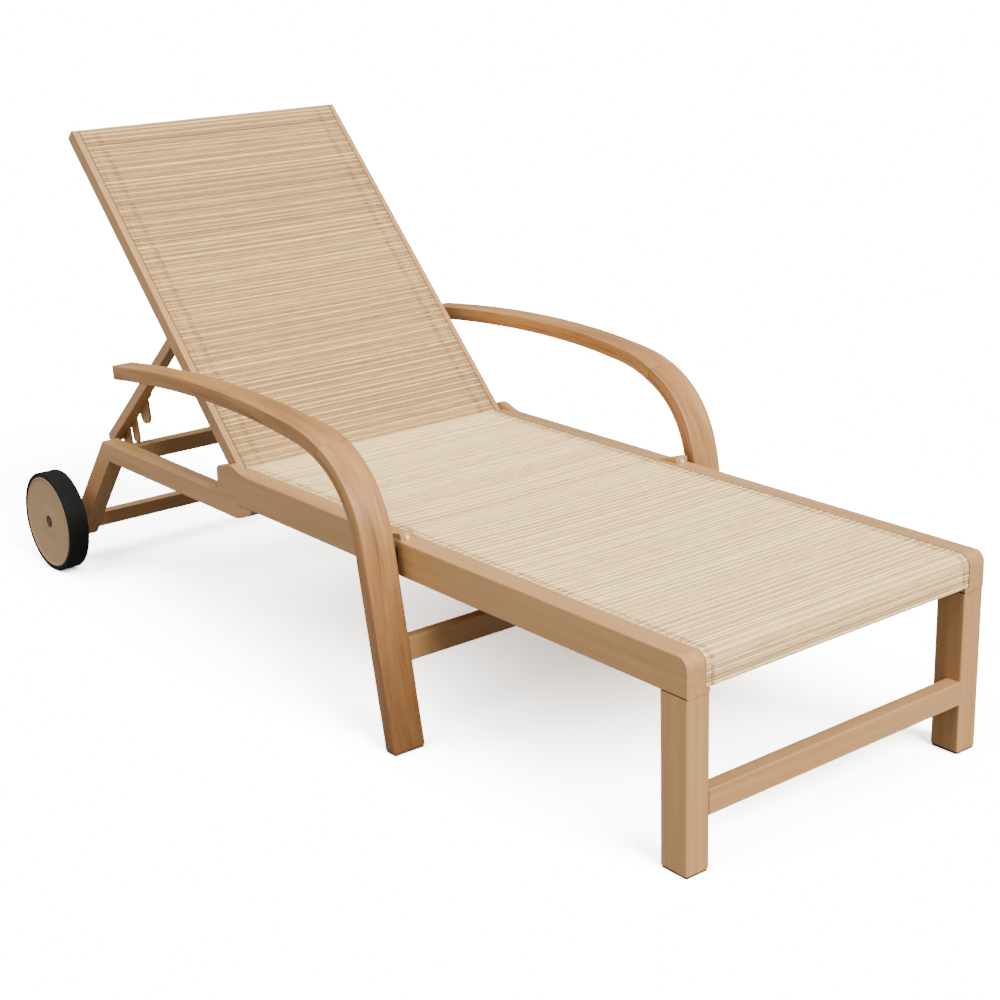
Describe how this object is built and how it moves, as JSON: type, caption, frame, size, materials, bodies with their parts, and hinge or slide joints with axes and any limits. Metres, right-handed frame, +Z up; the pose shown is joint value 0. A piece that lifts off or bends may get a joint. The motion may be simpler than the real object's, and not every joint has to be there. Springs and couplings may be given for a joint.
{
  "type": "sun lounger",
  "caption": "Reclining sun lounger with woven sling seat and back, curved wooden armrests, folding rack strut and two wheels at the head end.",
  "frame": {"origin": "on the floor under the middle of the lounger's bounding box", "axes": "+X towards the foot end, +Z up, -Y the sitter's right"},
  "size_m": [1.947, 0.816, 0.9149],
  "materials": {
    "frame_paint": "satin tan powder coat",
    "teak": "oiled",
    "seat_weave": "woven ribbed",
    "back_weave": "woven ribbed",
    "tyre": "matt",
    "wheel_plastic": "satin",
    "black_plastic": "matt",
    "pale_plastic": "matt",
    "steel": "satin",
    "brown_bolts": "satin"
  },
  "bodies": {
    "frame": {"seat_rail_right": "frame_paint", "seat_rail_left": "frame_paint", "foot_leg_right": "frame_paint", "foot_leg_left": "frame_paint", "leg_seats": "black_plastic", "floor_glides": "black_plastic", "foot_stretcher": "frame_paint", "foot_end_bar": "frame_paint", "seat_rear_bar": "frame_paint", "seat_sling": "seat_weave", "seat_middle_bar": "frame_paint", "hinge_cheek_right": "frame_paint", "hinge_cheek_left": "frame_paint", "hinge_pins": "steel", "hinge_washers": "black_plastic", "rear_rail_right": "frame_paint", "rear_rail_left": "frame_paint", "wheel_leg_right": "frame_paint", "wheel_leg_left": "frame_paint", "rear_upper_bar": "frame_paint", "rear_lower_bar": "frame_paint", "axle_bolts": "brown_bolts", "rail_lug_right": "frame_paint", "rail_lug_left": "frame_paint", "lug_buttons": "pale_plastic", "arm_leg_right": "teak", "arm_leg_left": "teak", "armrest_right": "teak", "armrest_left": "teak", "arm_spacers": "black_plastic", "arm_bolts": "brown_bolts", "arm_glides": "black_plastic", "arm_stretcher": "frame_paint"},
    "backrest": {"back_tube_right": "frame_paint", "back_tube_left": "frame_paint", "back_top_bar": "frame_paint", "back_bottom_bar": "frame_paint", "back_sling": "back_weave", "strut_pins": "steel"},
    "strut": {"strut_leg_right": "frame_paint", "strut_leg_left": "frame_paint", "rack_plate_right": "frame_paint", "rack_plate_left": "frame_paint", "strut_tie_rod": "steel"},
    "wheel_right": {"wheel_disc_right": "wheel_plastic", "tyre_right": "tyre", "wheel_bush_right": "black_plastic"},
    "wheel_left": {"wheel_disc_left": "wheel_plastic", "tyre_left": "tyre", "wheel_bush_left": "black_plastic"}
  },
  "joints": [
    {"name": "backrest_recline", "type": "hinge", "parent": "frame", "child": "backrest", "pos_m": [-0.2355, 0, 0.325], "axis": [0, -1, 0], "range_deg": [0, 46]},
    {"name": "strut_fold", "type": "hinge", "parent": "backrest", "child": "strut", "pos_m": [-0.46682, 0, 0.56454], "axis": [0, 1, 0], "range_deg": [0, 87]},
    {"name": "wheel_right_spin", "type": "hinge", "parent": "frame", "child": "wheel_right", "pos_m": [-0.8685, -0.3865, 0.105], "axis": [0, 1, 0], "continuous": true},
    {"name": "wheel_left_spin", "type": "hinge", "parent": "frame", "child": "wheel_left", "pos_m": [-0.8685, 0.3865, 0.105], "axis": [0, 1, 0], "continuous": true}
  ],
  "couplings": [
    {"joint": "strut_fold", "follows": "backrest_recline", "ratio": 1.8911}
  ]
}
